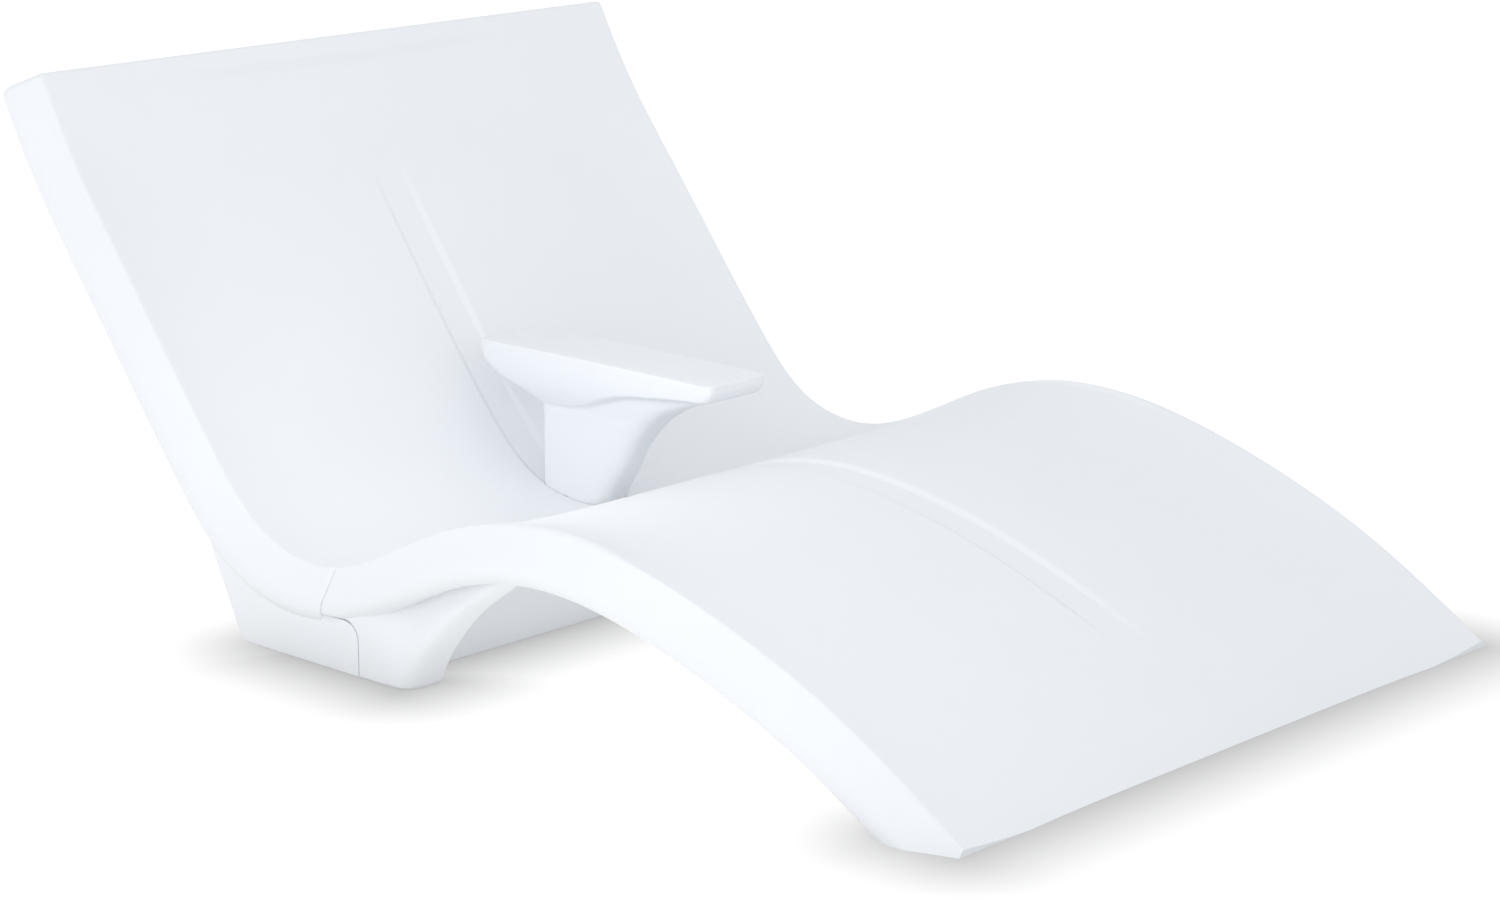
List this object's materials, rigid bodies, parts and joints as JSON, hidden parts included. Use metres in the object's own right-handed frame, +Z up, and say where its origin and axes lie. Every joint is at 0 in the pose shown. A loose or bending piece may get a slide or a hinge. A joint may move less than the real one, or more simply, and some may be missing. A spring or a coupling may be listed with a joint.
{
  "type": "sun lounger",
  "caption": "Two-seat pool lounger with a fixed wave-shaped bed in two hollow moulded sections, a lift-out centre console with a tray, and screw plugs for water ballast.",
  "frame": {"origin": "on the floor under the middle of the lounger's overall length and width", "axes": "+Z up, -Y towards the toe end, +Y towards the backrest, +X to the left of a person lying on it"},
  "size_m": [1.2, 1.8156, 0.76],
  "materials": {
    "shell": "fine matt, moulded polyethylene",
    "plug": "satin nylon",
    "gasket": "matt rubber",
    "insert": "machined"
  },
  "bodies": {
    "rear_section": {"rear_section_shell": "shell", "rear_fill_insert": "insert", "rear_drain_insert": "insert"},
    "front_section": {"front_section_shell": "shell", "front_fill_insert": "insert", "front_drain_insert": "insert"},
    "console": {"console_shell": "shell"},
    "rear_fill_gasket": {"rear_fill_gasket": "gasket"},
    "rear_fill_plug": {"rear_fill_plug": "plug"},
    "rear_drain_gasket": {"rear_drain_gasket": "gasket"},
    "rear_drain_plug": {"rear_drain_plug": "plug"},
    "front_fill_gasket": {"front_fill_gasket": "gasket"},
    "front_fill_plug": {"front_fill_plug": "plug"},
    "front_drain_gasket": {"front_drain_gasket": "gasket"},
    "front_drain_plug": {"front_drain_plug": "plug"}
  },
  "joints": [
    {"name": "front_section_lift", "type": "slide", "parent": "rear_section", "child": "front_section", "axis": [0, 0, 1], "range_m": [0, 0.025]},
    {"name": "console_lift", "type": "slide", "parent": "rear_section", "child": "console", "axis": [0, 0, 1], "range_m": [0, 0.25]},
    {"name": "rear_fill_plug_travel", "type": "slide", "parent": "rear_section", "child": "rear_fill_gasket", "axis": [0, 0.9031, -0.4294], "range_m": [0, 0.0228]},
    {"name": "rear_fill_plug_turn", "type": "hinge", "parent": "rear_fill_gasket", "child": "rear_fill_plug", "pos_m": [-0.33, 0.42274, 0.058], "axis": [0, 0.9031, -0.4294], "range_deg": [0, 2340]},
    {"name": "rear_drain_plug_travel", "type": "slide", "parent": "rear_section", "child": "rear_drain_gasket", "axis": [0, 0.9031, -0.4294], "range_m": [0, 0.0228]},
    {"name": "rear_drain_plug_turn", "type": "hinge", "parent": "rear_drain_gasket", "child": "rear_drain_plug", "pos_m": [0.33, 0.42274, 0.058], "axis": [0, 0.9031, -0.4294], "range_deg": [0, 2340]},
    {"name": "front_fill_plug_travel", "type": "slide", "parent": "front_section", "child": "front_fill_gasket", "axis": [0, -1, 0], "range_m": [0, 0.0228]},
    {"name": "front_fill_plug_turn", "type": "hinge", "parent": "front_fill_gasket", "child": "front_fill_plug", "pos_m": [-0.08, 0.10017, 0.058], "axis": [0, -1, 0], "range_deg": [0, 2340]},
    {"name": "front_drain_plug_travel", "type": "slide", "parent": "front_section", "child": "front_drain_gasket", "axis": [0, -1, 0], "range_m": [0, 0.0228]},
    {"name": "front_drain_plug_turn", "type": "hinge", "parent": "front_drain_gasket", "child": "front_drain_plug", "pos_m": [0.08, 0.10017, 0.058], "axis": [0, -1, 0], "range_deg": [0, 2340]}
  ],
  "couplings": [
    {"joint": "rear_fill_plug_travel", "follows": "rear_fill_plug_turn", "m_per_rad": 0.00055704},
    {"joint": "rear_drain_plug_travel", "follows": "rear_drain_plug_turn", "m_per_rad": 0.00055704},
    {"joint": "front_fill_plug_travel", "follows": "front_fill_plug_turn", "m_per_rad": 0.00055704},
    {"joint": "front_drain_plug_travel", "follows": "front_drain_plug_turn", "m_per_rad": 0.00055704}
  ]
}
